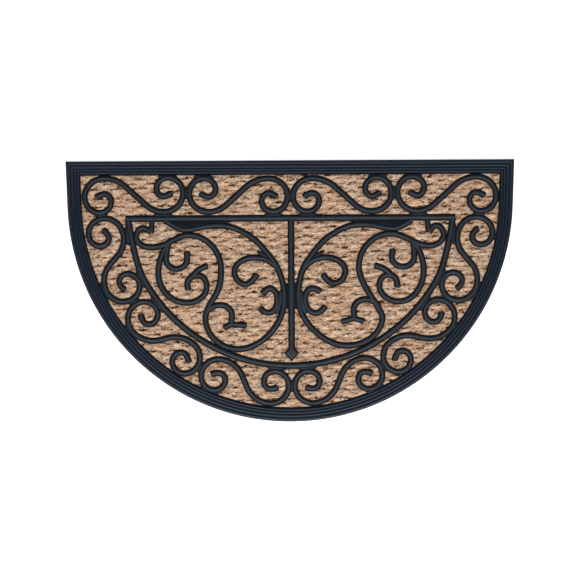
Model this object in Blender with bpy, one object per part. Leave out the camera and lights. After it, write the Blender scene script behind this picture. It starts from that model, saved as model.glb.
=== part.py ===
"""Half-round coir doormat held in a moulded rubber tray with a scrollwork grille.

The mat is a stilted half circle: a straight back edge, two short sides that flare a little, and a
round front. It has two pieces. The rubber moulding is one piece: a backing sheet, a ribbed border,
ten S-scrolls in the band inside the border, a half-round inner frame, and the scrollwork in it.
The coir panel is a flat slab that lies in the tray, under the bars.

The origin is the middle of the mat's box, on the floor. +X runs along the straight edge and +Y
points to it. The tables and the layout are in millimetres, and the meshes are in metres.
"""
import math

import bmesh
import bpy
import numpy as np

MM = 0.001

# Outline of the whole mat
WIDTH = 762.0            # straight edge, corner to corner
SIDE_RISE = 65.5         # short sides between the corners and the round front
SIDE_FLARE = 2.2         # degrees that each short side leans outwards
ARC_STEP = 6.0           # degrees for each facet of the round front

# Heights above the floor
BACKING_TOP = 2.0
BORDER_TOP = 8.8
BAR_BOTTOM = 6.6
BAR_TOP = 10.0
FIT_GAP = 0.3            # between the coir panel and the rubber, all round

# Ribbed border
BORDER = 24.5
GROOVES = (7.1, 12.8, 17.7)  # middles of the grooves between the four ribs, in from the outer edge
GROOVE_WIDTH = 2.4
GROOVE_DEPTH = 1.3
OUTER_WALL = 3.6         # upright part of the outer edge
OUTER_BEVEL = 2.4
INNER_BEVEL = 2.2

# Bars of the grille
SCROLL_BAR = 9.6         # width at the foot
FRAME_BAR = 10.4
CROWN = 5.0              # how much narrower a bar is at its top
TIP_TAPER = 3.0          # length over which a free end narrows
TIP_WIDTH = 0.55         # share of the width left at the tip
SAGITTA = 0.45           # most that a facet may cut inside the true curve
MAX_TURN = 24.0          # degrees of bend in one facet

# Inner frame
FRAME_INSET = 97.5       # straight edge of the mat to the middle of the frame's straight bar
FRAME_RADIUS = 284.0     # round bar, about a centre a little above that of the mat's front
FRAME_RISE = 1.6
FRAME_ARC_TOP_Y = 22.0   # above this the frame's sides are straighter than the circle
FRAME_CORNER_X = 275.5
FRAME_TOP_HEADING = 81.0

# Band of S-scrolls: half of each S is a straight lead, an easy bend, a tightening curl and a tail.
# Lead and radius of the easy bend are given for the half that leaves first and the half turned round.
BACK_SCROLL = {"tilt": 41.0, "curl": 375.0, "r_out": 34.7, "r_in": 8.8}
BACK_SCROLL_HALVES = ((21.4, 60.0), (26.6, 46.0))
BACK_SCROLL_X = (91.2, 262.4)
FRONT_SCROLL = {"tilt": 55.0, "curl": 373.0, "r_out": 33.2, "r_in": 9.0}
FRONT_SCROLL_EASE = 48.0
# Columns: degrees round from the stem in the right half and in the left, distance of the middle from
# the centre of the front, twist in degrees, side to which the first half leans, length of the lead
FRONT_SCROLL_PLACES = (
    (14.5, 14.3, 318.0, 0.0, 1, 8.3),
    (42.9, 42.5, 318.6, 2.4, -1, 7.8),
    (71.3, 71.3, 317.8, 0.8, 1, 7.5),
)
TAIL_TURN = 25.0
TAIL_RADIUS = 26.0

# Low webs of rubber that fill the narrow wedges where bars meet
WEB_TOP = 8.3
RIM_WEB = 27.0           # length of a web between a scroll and the border or the frame
PAIR_WEB = 17.0          # length of a web between two scrolls
WEB_WIDTH = 8.0
LENS_TOP = 8.9
COLLAR_HALF_WIDTH = 10.5
COLLAR_ENDS = (-30.0, 14.0)
COLLAR_TOP = 9.2

# Stem with its diamond finial
STEM_X = 1.0
STEM_FOOT = -97.0
FINIAL_MIDDLE = -106.0
FINIAL_HALF_LENGTH = 14.0
FINIAL_HALF_WIDTH = 11.0
FINIAL_TOP_SHARE = 0.45

# Coir panel
COIR_THICK = 4.0
COIR_EDGE_BEVEL = 1.0

ARC_RADIUS = WIDTH / 2 * math.cos(math.radians(SIDE_FLARE)) - SIDE_RISE * math.sin(math.radians(SIDE_FLARE))
BACK_Y = (ARC_RADIUS + SIDE_RISE) / 2
ARC_Y = BACK_Y - SIDE_RISE
FRAME_BACK_Y = BACK_Y - FRAME_INSET
BAND_Y = BACK_Y - (BORDER + FRAME_INSET - SCROLL_BAR / 2) / 2

# Scrollwork inside the frame, bar by bar. The two halves match but were set out apart.
# Columns: the bar's heading at a station in degrees from outwards, then the station's distance
# from the stem and its y in the right half, then the same two in the left half, in mm.
VOLUTE = (
    (40, 234.5, 99.5, 235.5, 101.0),
    (0, 246.5, 110.5, 251.0, 108.5),
    (-90, 259.5, 96.0, 261.5, 93.0),
    (-180, 236.5, 76.5, 236.5, 76.0),
    (-209, 210.5, 82.5, 209.0, 82.5),
    (-180, 170.5, 97.5, 174.0, 96.5),
    (-90, 115.5, 41.0, 118.0, 37.0),
    (-57, 133.5, -5.0, 127.5, -5.0),
    (-90, 155.0, -44.0, 145.0, -44.0),
    (-180, 94.5, -92.5, 89.0, -97.5),
    (-221, 43.5, -70.5, 42.5, -78.0),
    (-270, 12.5, -10.0, 11.0, -10.0),
)
ARCH = (
    (90, 12.5, -10.0, 11.0, -10.0),
    (62, 24.0, 44.0, 25.0, 45.0),
    (48, 51.0, 80.5, 53.0, 80.5),
    (27, 85.5, 105.0, 85.5, 103.5),
    (0, 118.0, 113.0, 122.0, 112.5),
    (-14, 150.0, 109.5, 153.0, 109.0),
    (0, 176.0, 106.0, 180.0, 105.5),
    (33, 205.0, 116.0, 212.0, 117.0),
)
RING = (
    (-58, 211.5, 80.0, 210.0, 79.5),
    (-90, 225.5, 36.0, 224.5, 32.0),
    (-180, 183.5, -18.0, 176.5, -18.5),
    (-270, 150.0, 9.5, 142.5, 9.0),
    (-360, 165.5, 27.5, 157.5, 28.0),
    (-450, 180.0, 14.0, 175.5, 13.0),
    (-450, 181.5, 5.0, 174.0, 2.0),
)
UPPER_CURL = (
    (-75, 208.0, 81.0, 207.0, 82.0),
    (-90, 209.5, 58.0, 211.5, 56.0),
    (-180, 191.0, 41.0, 194.5, 39.0),
    (-270, 171.5, 57.0, 175.5, 56.0),
    (-275, 173.5, 72.0, 176.0, 69.5),
)
STEM_CURL = (
    (60, 22.0, 38.0, 24.5, 42.0),
    (30, 38.0, 52.5, 40.0, 53.5),
    (0, 60.0, 57.5, 62.0, 57.5),
    (-90, 92.5, 34.0, 95.5, 34.0),
    (-180, 72.5, 13.5, 76.5, 12.5),
    (-240, 54.0, 29.5, 56.5, 29.5),
)
CLASP = (
    (135, 51.0, -2.0, 49.5, -4.5),
    (180, 36.5, 5.0, 36.0, 5.5),
    (270, 24.0, -13.0, 23.0, -14.0),
    (360, 42.0, -37.0, 38.0, -36.0),
    (405, 57.5, -27.0, 52.5, -27.5),
)
LOWER_CURL = (
    (120, 150.0, -27.0, 140.0, -33.0),
    (180, 126.5, -14.0, 120.0, -22.5),
    (270, 106.5, -31.0, 100.0, -40.0),
    (275, 107.5, -45.0, 101.5, -54.5),
)
OUTER_WING = ((-15, 106.5, -46.0, 101.0, -55.0), (-35, 124.5, -52.5, 114.5, -62.5))
INNER_WING = ((190, 108.0, -46.0, 102.0, -55.0), (185, 84.5, -51.5, 74.5, -57.5))
SHOOT = ((130, 171.0, 26.0, 167.0, 26.0), (150, 159.0, 37.0, 155.0, 38.0), (175, 141.0, 43.0, 140.0, 44.0))
STUB = ((-80, 231.5, 121.0, 234.5, 121.0), (-80, 234.5, 99.5, 236.0, 101.0))

# Columns: name, stations, whether the start and the end are free tips
HALF_BARS = (
    ("volute", VOLUTE, False, False),
    ("arch", ARCH, False, False),
    ("ring", RING, False, True),
    ("upper_curl", UPPER_CURL, False, True),
    ("stem_curl", STEM_CURL, False, True),
    ("clasp", CLASP, True, True),
    ("lower_curl", LOWER_CURL, False, False),
    ("outer_wing", OUTER_WING, False, True),
    ("inner_wing", INNER_WING, False, True),
    ("shoot", SHOOT, False, True),
    ("stub", STUB, False, False),
)
# Corners of the low webs inside the frame, by distance from the stem and y
LENS = ((106.0, 121.0), (150.0, 109.5), (178.0, 105.5), (206.0, 116.0), (213.0, 121.0))
CLASP_WEB = ((12.0, 0.0), (22.5, -4.0), (22.5, -24.0), (14.0, -34.0))


def unit(heading):
    """Direction of a heading in degrees."""
    return np.array([math.cos(math.radians(heading)), math.sin(math.radians(heading))])


def arc(centre, radius, start, end, step):
    """Points on a circle from one angle to another, both ends included."""
    count = max(1, math.ceil(abs(end - start) / step))
    angles = np.radians(np.linspace(start, end, count + 1))
    return np.array(centre) + radius * np.stack([np.cos(angles), np.sin(angles)], axis=1)


def outline(inset, step=ARC_STEP):
    """The mat's outline moved in by inset: left corner, right corner, then round the front."""
    radius = ARC_RADIUS - inset
    top = BACK_Y - inset
    flare = math.radians(SIDE_FLARE)
    corner = (radius + (top - ARC_Y) * math.sin(flare)) / math.cos(flare)
    front = arc((0.0, ARC_Y), radius, -SIDE_FLARE, SIDE_FLARE - 180.0, step)
    return np.concatenate([[(-corner, top), (corner, top)], front])


def easy_curve(start, end, count):
    """Cubic between two stations with given headings, round like an arc where the two allow it."""
    p0, p1 = np.array(start[:2]), np.array(end[:2])
    d0, d1 = unit(start[2]), unit(end[2])
    chord = p1 - p0
    cross = d0[0] * d1[1] - d0[1] * d1[0]
    reach0 = reach1 = np.linalg.norm(chord) / 3
    if abs(cross) > 0.001:
        to_corner = (chord[0] * d1[1] - chord[1] * d1[0]) / cross
        from_corner = (d0[0] * chord[1] - d0[1] * chord[0]) / cross
        if to_corner > 0 and from_corner > 0:
            turn = math.radians(abs(end[2] - start[2]))
            roundness = 4 / 3 * math.tan(turn / 4) / math.tan(turn / 2)
            reach0 = roundness * to_corner
            reach1 = roundness * from_corner
    u = np.linspace(0, 1, count + 1)[:, None]
    c0, c1 = p0 + reach0 * d0, p1 - reach1 * d1
    return (1 - u) ** 3 * p0 + 3 * u * (1 - u) ** 2 * c0 + 3 * u ** 2 * (1 - u) * c1 + u ** 3 * p1


def station_path(stations, side, count=16):
    """One smooth path through a bar's stations in one half: side is 1 for the right, -1 for the left."""
    first = 1 if side > 0 else 3
    rows = [(row[first], row[first + 1], row[0]) for row in stations]
    runs = [easy_curve(a, b, count) for a, b in zip(rows, rows[1:])]
    path = np.concatenate([runs[0]] + [run[1:] for run in runs[1:]])
    return path if side > 0 else mirrored(path)


def bend(heading, turn, r_start, r_end, step=4.0):
    """A bend from the origin whose radius goes evenly from one value to the other."""
    count = math.ceil(abs(turn) / step)
    share = (np.arange(count) + 0.5) / count
    headings = heading + turn * share
    lengths = (r_start + (r_end - r_start) * share) * math.radians(abs(turn) / count)
    steps = lengths[:, None] * np.stack([np.cos(np.radians(headings)), np.sin(np.radians(headings))], axis=1)
    return np.cumsum(np.vstack([np.zeros(2), steps]), axis=0)


def half_scroll(tangent, side, lead, ease, shape):
    """Half of an S from the origin: straight, an easy bend back, a tightening curl and a tail."""
    tilt = shape["tilt"] * side
    path = np.array([np.zeros(2), lead * unit(tangent + tilt)])
    for heading, turn, r_start, r_end in (
        (tangent + tilt, -tilt, ease, ease),
        (tangent, -side * shape["curl"], shape["r_out"], shape["r_in"]),
        (tangent - side * shape["curl"], -side * TAIL_TURN, TAIL_RADIUS, TAIL_RADIUS),
    ):
        path = np.concatenate([path, path[-1] + bend(heading, turn, r_start, r_end)[1:]])
    return path


def s_scroll(centre, tangent, side, halves, shape):
    """An S about its middle: one half, and the other turned round."""
    first, second = [half_scroll(tangent, side, lead, ease, shape) for lead, ease in halves]
    return np.array(centre) + np.concatenate([-second[::-1], first[1:]])


def thin(path):
    """Fewer points on a path: as few as keep each facet within SAGITTA and MAX_TURN."""
    steps = np.diff(path, axis=0)
    lengths = np.linalg.norm(steps, axis=1)
    headings = np.unwrap(np.arctan2(steps[:, 1], steps[:, 0]))
    turns = np.abs(np.diff(headings))
    bends = np.zeros(len(lengths))
    bends[:-1] += turns / 2
    bends[1:] += turns / 2
    curvature = bends / lengths
    facets = np.maximum(bends / math.radians(MAX_TURN), lengths * np.sqrt(curvature / (8 * SAGITTA)))
    total = np.concatenate([[0.0], np.cumsum(facets + 1e-6 * lengths)])
    count = max(1, math.ceil(total[-1]))
    marks = np.linspace(0, total[-1], count + 1)
    return np.stack([np.interp(marks, total, path[:, 0]), np.interp(marks, total, path[:, 1])], axis=1)


def mirrored(path):
    """The same path in the left half."""
    return path * np.array([-1.0, 1.0])


def new_mesh(name, verts, faces):
    """A mesh in metres from points in millimetres, with its faces turned outwards."""
    mesh = bpy.data.meshes.new(name)
    mesh.from_pydata((np.asarray(verts) * MM).tolist(), [], faces)
    work = bmesh.new()
    work.from_mesh(mesh)
    bmesh.ops.recalc_face_normals(work, faces=work.faces)
    work.to_mesh(mesh)
    work.free()
    return mesh


def ring_solid(name, rings):
    """Closed solid from like rings of points, each ring joined to the next and the two ends capped."""
    count = len(rings[0])
    verts = np.concatenate(rings)
    faces = [list(range(count))[::-1]]
    for level in range(len(rings) - 1):
        low, high = level * count, (level + 1) * count
        for i in range(count):
            j = (i + 1) % count
            faces.append([low + i, low + j, high + j, high + i])
    faces.append(list(range(len(verts) - count, len(verts))))
    return new_mesh(name, verts, faces)


def flat_ring(points, z):
    """Plan points lifted to a height."""
    return np.column_stack([points, np.full(len(points), z)])


def bar_mesh(name, path, foot, free_start, free_end):
    """A bar carried along a path: wide at its foot, narrow at its crown, its free ends drawn in."""
    points = thin(path)
    widths = np.ones(len(points))
    if free_start:
        inner = points[0] + TIP_TAPER * (points[1] - points[0]) / np.linalg.norm(points[1] - points[0])
        points = np.vstack([points[:1], inner, points[1:]])
        widths = np.concatenate([[TIP_WIDTH, 1.0], widths[1:]])
    if free_end:
        inner = points[-1] + TIP_TAPER * (points[-2] - points[-1]) / np.linalg.norm(points[-2] - points[-1])
        points = np.vstack([points[:-1], inner, points[-1:]])
        widths = np.concatenate([widths[:-1], [1.0, TIP_WIDTH]])
    ways = np.diff(points, axis=0)
    ways /= np.linalg.norm(ways, axis=1)[:, None]
    before = np.vstack([ways[:1], ways])
    after = np.vstack([ways, ways[-1:]])
    middle = before + after
    middle /= np.linalg.norm(middle, axis=1)[:, None]
    mitre = 1 / np.sum(middle * after, axis=1)
    across = np.column_stack([-middle[:, 1], middle[:, 0]]) * (mitre * widths)[:, None]
    section = ((-foot / 2, BAR_BOTTOM), (foot / 2, BAR_BOTTOM),
               ((foot - CROWN) / 2, BAR_TOP), (-(foot - CROWN) / 2, BAR_TOP))
    rings = []
    for point, side in zip(points, across):
        rings.append(np.array([(*(point + side * u), z) for u, z in section]))
    return ring_solid(name, rings)


def plate_mesh(name, points, top):
    """A flat web with upright sides."""
    return ring_solid(name, [flat_ring(points, BAR_BOTTOM), flat_ring(points, top)])


def band_scrolls(side):
    """The S-scrolls of one half of the band, in order from the back of the stem round to its front."""
    inner_x, outer_x = BACK_SCROLL_X
    back = s_scroll((0.0, 0.0), 0.0, 1, BACK_SCROLL_HALVES, BACK_SCROLL)
    paths = {"back_scroll_1": mirrored(back) + np.array([inner_x, BAND_Y])}
    paths["back_scroll_2"] = back + np.array([outer_x, BAND_Y])
    for number in range(len(FRONT_SCROLL_PLACES), 0, -1):
        right, left, radius, twist, lean, lead = FRONT_SCROLL_PLACES[number - 1]
        angle = right if side > 0 else left
        centre = np.array([0.0, ARC_Y]) + radius * unit(angle - 90.0)
        halves = ((lead, FRONT_SCROLL_EASE), (lead, FRONT_SCROLL_EASE))
        paths[f"front_scroll_{number}"] = s_scroll(centre, angle + twist, lean, halves, FRONT_SCROLL)
    return {name: path if side > 0 else mirrored(path) for name, path in paths.items()}


def frame_side():
    """Right half of the frame: round from the bottom, then straighter up to the back corner."""
    middle_y = ARC_Y + FRAME_RISE
    angle = math.degrees(math.asin((FRAME_ARC_TOP_Y - middle_y) / FRAME_RADIUS))
    low = arc((0.0, middle_y), FRAME_RADIUS, -90.0, angle, 2.0)
    high = easy_curve((*low[-1], angle + 90.0), (FRAME_CORNER_X, FRAME_BACK_Y, FRAME_TOP_HEADING), 8)
    return np.concatenate([low, high[1:]])


def nearest(path, other):
    """The two closest points of two paths."""
    apart = np.linalg.norm(path[:, None] - other[None], axis=2)
    i, j = np.unravel_index(np.argmin(apart), apart.shape)
    return path[i], other[j]


def web_points(path, other, length):
    """Plan of the small web that fills the wedge on each side of the place where two bars meet."""
    a, b = nearest(path, other)
    across = (b - a) / np.linalg.norm(b - a)
    along = np.array([-across[1], across[0]])
    middle = (a + b) / 2
    u, v = along * length / 2, across * WEB_WIDTH / 2
    return np.array([middle - u - v, middle + u - v, middle + u + v, middle - u + v])


def finial_mesh():
    """The diamond at the foot of the stem, a low pyramid with its top cut off."""
    corners = np.array([(0.0, 1.0), (-1.0, 0.0), (0.0, -1.0), (1.0, 0.0)])
    size = np.array([FINIAL_HALF_WIDTH, FINIAL_HALF_LENGTH])
    middle = np.array([STEM_X, FINIAL_MIDDLE])
    low = flat_ring(middle + corners * size, BAR_BOTTOM)
    high = flat_ring(middle + corners * size * FINIAL_TOP_SHARE, BAR_TOP)
    return ring_solid("finial", [low, high])


def border_profile():
    """Insets and heights of the tray's upper surface, from the outer edge in to the backing."""
    profile = [(0.0, 0.0), (0.0, OUTER_WALL), (OUTER_BEVEL, BORDER_TOP)]
    for groove in GROOVES:
        profile.append((groove - GROOVE_WIDTH / 2, BORDER_TOP))
        profile.append((groove, BORDER_TOP - GROOVE_DEPTH))
        profile.append((groove + GROOVE_WIDTH / 2, BORDER_TOP))
    profile.append((BORDER - INNER_BEVEL, BORDER_TOP))
    profile.append((BORDER, BORDER_TOP - INNER_BEVEL))
    profile.append((BORDER, BACKING_TOP))
    return profile


def band_webs(paths, side):
    """Plans of the low webs of one half of the band."""
    back_bar = np.column_stack([np.linspace(0, side * FRAME_CORNER_X, 140), np.full(140, FRAME_BACK_Y)])
    round_bar = frame_side() if side > 0 else mirrored(frame_side())
    rim = outline(BORDER, 0.5)
    rim = np.concatenate([np.linspace(rim[0], rim[1], 360), rim[2:]])
    names = list(paths)
    webs = []
    for name in names:
        webs.append(web_points(paths[name], rim, RIM_WEB))
        webs.append(web_points(paths[name], back_bar if name.startswith("back") else round_bar, RIM_WEB))
    for name, following in zip(names, names[1:]):
        webs.append(web_points(paths[name], paths[following], PAIR_WEB))
    return webs


def grille_meshes():
    """Every bar and web of the grille as a mesh of its own, ready to be joined to the tray."""
    right_frame = frame_side()
    round_frame = np.concatenate([mirrored(right_frame)[::-1], right_frame[1:]])
    back_frame = np.array([(-FRAME_CORNER_X, FRAME_BACK_Y), (FRAME_CORNER_X, FRAME_BACK_Y)])
    stem = np.array([(STEM_X, FRAME_BACK_Y), (STEM_X, STEM_FOOT)])
    meshes = [finial_mesh()]
    for name, path in (("round_frame", round_frame), ("back_frame", back_frame), ("stem", stem)):
        meshes.append(bar_mesh(name, path, FRAME_BAR, False, False))
    low, high = COLLAR_ENDS
    collar = np.array([(-1.0, low), (1.0, low), (1.0, high), (-1.0, high)]) * (COLLAR_HALF_WIDTH, 1.0)
    meshes.append(plate_mesh("collar", collar + (STEM_X, 0.0), COLLAR_TOP))
    right_paths, left_paths = band_scrolls(1), band_scrolls(-1)
    for name in ("back_scroll_1", "front_scroll_1"):
        web = web_points(right_paths[name], left_paths[name], PAIR_WEB)
        meshes.append(plate_mesh(f"{name}_middle_web", web, WEB_TOP))
    for side, half, paths in ((1, "right", right_paths), (-1, "left", left_paths)):
        for name, path in paths.items():
            meshes.append(bar_mesh(f"{name}_{half}", path, SCROLL_BAR, True, True))
        for number, web in enumerate(band_webs(paths, side), 1):
            meshes.append(plate_mesh(f"band_web_{number}_{half}", web, WEB_TOP))
        for name, stations, free_start, free_end in HALF_BARS:
            path = station_path(stations, side)
            meshes.append(bar_mesh(f"{name}_{half}", path, SCROLL_BAR, free_start, free_end))
        for name, corners, top in (("lens", LENS, LENS_TOP), ("clasp_web", CLASP_WEB, COLLAR_TOP)):
            meshes.append(plate_mesh(f"{name}_{half}", np.array(corners) * (side, 1), top))
    return meshes


def material(name, colour, roughness):
    """A plain Principled material."""
    result = bpy.data.materials.new(name)
    result.use_nodes = True
    shader = result.node_tree.nodes["Principled BSDF"]
    shader.inputs["Base Color"].default_value = (*colour, 1.0)
    shader.inputs["Roughness"].default_value = roughness
    shader.inputs["Metallic"].default_value = 0.0
    return result


def add_object(name, mesh, collection):
    """Put a mesh into a collection."""
    result = bpy.data.objects.new(name, mesh)
    collection.objects.link(result)
    return result


def rubber_moulding():
    """The tray and the grille, joined into one solid."""
    rings = [flat_ring(outline(inset), z) for inset, z in border_profile()]
    scene = bpy.context.scene.collection
    tray = add_object("rubber_moulding", ring_solid("rubber_moulding", rings), scene)
    tray.data.materials.append(material("blue_black_rubber", (0.020, 0.027, 0.040), 0.55))
    grille = bpy.data.collections.new("grille_guides")
    scene.children.link(grille)
    for mesh in grille_meshes():
        guide = add_object(mesh.name, mesh, grille)
        guide.hide_render = True
        guide.display_type = "WIRE"
    join = tray.modifiers.new("grille", "BOOLEAN")
    join.operation = "UNION"
    join.operand_type = "COLLECTION"
    join.collection = grille
    return tray


def coir_panel():
    """The flat slab of coir in the tray, its upper edge eased."""
    low = BACKING_TOP + FIT_GAP
    high = low + COIR_THICK
    inset = BORDER + FIT_GAP
    rings = [
        flat_ring(outline(inset), low),
        flat_ring(outline(inset), high - COIR_EDGE_BEVEL),
        flat_ring(outline(inset + COIR_EDGE_BEVEL), high),
    ]
    panel = add_object("coir_panel", ring_solid("coir_panel", rings), bpy.context.scene.collection)
    panel.data.materials.append(material("bleached_coir", (0.58, 0.37, 0.21), 0.95))
    return panel


for old in list(bpy.data.objects):
    bpy.data.objects.remove(old)
rubber_moulding()
coir_panel()
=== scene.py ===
"""Looks of a half-round coir doormat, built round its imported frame.

A rubber tray with a ribbed border carries a grille of moulded scrollwork, and a panel of bleached coir
lies in the tray under the grille. Plans are worked out in millimetres and meshes are in metres.
"""
import math

import bpy
import numpy as np
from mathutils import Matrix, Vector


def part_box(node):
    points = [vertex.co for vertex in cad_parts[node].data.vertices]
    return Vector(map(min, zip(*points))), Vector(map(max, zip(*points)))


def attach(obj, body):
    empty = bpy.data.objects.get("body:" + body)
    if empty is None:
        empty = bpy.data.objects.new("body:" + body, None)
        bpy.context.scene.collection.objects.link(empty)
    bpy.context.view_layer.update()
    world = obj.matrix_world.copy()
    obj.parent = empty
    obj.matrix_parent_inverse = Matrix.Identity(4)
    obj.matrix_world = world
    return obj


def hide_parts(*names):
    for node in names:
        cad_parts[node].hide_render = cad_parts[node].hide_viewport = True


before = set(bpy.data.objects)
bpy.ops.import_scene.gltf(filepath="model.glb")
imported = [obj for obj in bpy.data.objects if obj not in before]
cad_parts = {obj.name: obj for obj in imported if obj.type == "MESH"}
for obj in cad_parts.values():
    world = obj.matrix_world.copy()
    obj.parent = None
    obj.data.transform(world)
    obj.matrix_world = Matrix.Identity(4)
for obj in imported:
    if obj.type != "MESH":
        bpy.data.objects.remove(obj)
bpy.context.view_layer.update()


# The tray
# One moulding of blue-black rubber: a closed backing sheet, and round it a border of four rounded ribs
# with a groove between each two. Straight back edge, two short flared sides and a round front.
MM = 0.001
tray_high = np.array(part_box("rubber_moulding")[1]) / MM
SIDE_RISE = 65.5
SIDE_FLARE = math.radians(2.2)
ARC_RADIUS = tray_high[0] * math.cos(SIDE_FLARE) - SIDE_RISE * math.sin(SIDE_FLARE)
BACK_Y = tray_high[1]
ARC_Y = BACK_Y - SIDE_RISE
BACKING_TOP = 2.0
BORDER = 24.5
BORDER_TOP = 8.8
OUTER_WALL = 3.6
SHOULDER_WIDTH = 2.4
INNER_FALL = (2.6, 3.2)
GROOVES = (7.1, 12.8, 17.7)
RIB_CROWNS = (4.4, 9.9, 15.4, 20.0)
GROOVE_DEPTH = 1.3
RIB_ROUNDNESS = 2.2
PROFILE_POINTS = 120


def outline(inset, step=1.0):
    """The mat's outline moved in by inset: two back corners, then a circle's arc from right to left."""
    radius = ARC_RADIUS - inset
    top = BACK_Y - inset
    corner = (radius + (top - ARC_Y) * math.sin(SIDE_FLARE)) / math.cos(SIDE_FLARE)
    turn = math.pi - 2 * SIDE_FLARE
    count = round(math.degrees(turn) / step)
    angles = np.linspace(-SIDE_FLARE, SIDE_FLARE - math.pi, count + 1)
    front = np.stack([radius * np.cos(angles), ARC_Y + radius * np.sin(angles)], axis=1)
    return np.concatenate([[(-corner, top), (corner, top)], front])


def border_profile():
    """Insets and heights from the outer foot to the backing.

    Each rib falls from its crown by the groove's depth times a power of the way to its groove. The first
    rib's outer side is twice as long as its inner one, and the last rib's two sides are alike. The outer
    shoulder and the inner edge are quarter ellipses, and the lowest of the curves is the surface.
    """
    across = np.linspace(0.0, BORDER, PROFILE_POINTS)
    first_edge = RIB_CROWNS[0] - 2 * (GROOVES[0] - RIB_CROWNS[0])
    last_edge = 2 * RIB_CROWNS[-1] - GROOVES[-1]
    edges = np.array((first_edge, *GROOVES, last_edge))
    rib = np.clip(np.searchsorted(edges, across) - 1, 0, len(RIB_CROWNS) - 1)
    crown = np.array(RIB_CROWNS)[rib]
    reach = np.where(across < crown, crown - edges[rib], edges[rib + 1] - crown)
    ribs = BORDER_TOP - GROOVE_DEPTH * np.abs((across - crown) / reach) ** RIB_ROUNDNESS
    from_edge = np.clip(1 - across / SHOULDER_WIDTH, 0, 1)
    shoulder = OUTER_WALL + (BORDER_TOP - OUTER_WALL) * np.sqrt(1 - from_edge ** 2)
    to_wall = np.clip(1 - (BORDER - across) / INNER_FALL[0], 0, 1)
    inner = BORDER_TOP - INNER_FALL[1] * (1 - np.sqrt(1 - to_wall ** 2))
    top = np.minimum(ribs, np.minimum(shoulder, inner))
    return np.concatenate([[(0.0, 0.0)], np.stack([across, top], axis=1), [(BORDER, BACKING_TOP)]])


def stacked_rings(rings):
    """Points and faces of a closed solid: like rings joined one to the next, and the ends capped."""
    levels, count = rings.shape[:2]
    level, place = np.meshgrid(np.arange(levels - 1), np.arange(count), indexing="ij")
    after = (place + 1) % count
    quads = np.stack([level * count + place, level * count + after,
                      (level + 1) * count + after, (level + 1) * count + place], axis=-1)
    faces = quads.reshape(-1, 4).tolist()
    faces.append(list(range(count))[::-1])
    faces.append(list(range((levels - 1) * count, levels * count)))
    return rings.reshape(-1, 3), faces


def piece_of(name, bodies, material, sharp=35.0):
    """One object from closed bodies given as points in millimetres and faces."""
    points, faces, start = [], [], 0
    for verts, polygons in bodies:
        points.append(verts)
        faces.extend([[corner + start for corner in polygon] for polygon in polygons])
        start += len(verts)
    mesh = bpy.data.meshes.new(name)
    mesh.from_pydata((np.concatenate(points) * MM).tolist(), [], faces)
    mesh.shade_smooth()
    mesh.set_sharp_from_angle(angle=math.radians(sharp))
    mesh.materials.append(material)
    piece = bpy.data.objects.new(name, mesh)
    bpy.context.scene.collection.objects.link(piece)
    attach(piece, "root")
    return piece


def shader_group(name, given, returned):
    """An empty node group whose inputs and outputs are pairs of a name and a kind of socket."""
    group = bpy.data.node_groups.new(name, "ShaderNodeTree")
    for way, sockets in (("INPUT", given), ("OUTPUT", returned)):
        for socket, kind in sockets:
            group.interface.new_socket(socket, in_out=way, socket_type="NodeSocket" + kind)
    return group, group.nodes.new("NodeGroupInput"), group.nodes.new("NodeGroupOutput")


def soft_spots(tree, place, scale, detail=2.0):
    """Noise read at a place, as a value that goes from 0 to 1."""
    noise = tree.nodes.new("ShaderNodeTexNoise")
    noise.inputs["Scale"].default_value = scale
    noise.inputs["Detail"].default_value = detail
    tree.links.new(place, noise.inputs["Vector"])
    return noise.outputs["Fac"]


def stretched(tree, value, low, high):
    """A value that goes from 0 to 1, made to go from low to high."""
    span = tree.nodes.new("ShaderNodeMapRange")
    span.inputs["To Min"].default_value = low
    span.inputs["To Max"].default_value = high
    tree.links.new(value, span.inputs["Value"])
    return span.outputs["Result"]


def relief(tree, height, strength, distance):
    """A bump node that turns the normal by the slope of a height."""
    bump = tree.nodes.new("ShaderNodeBump")
    bump.inputs["Strength"].default_value = strength
    bump.inputs["Distance"].default_value = distance
    tree.links.new(height, bump.inputs["Height"])
    return bump


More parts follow.
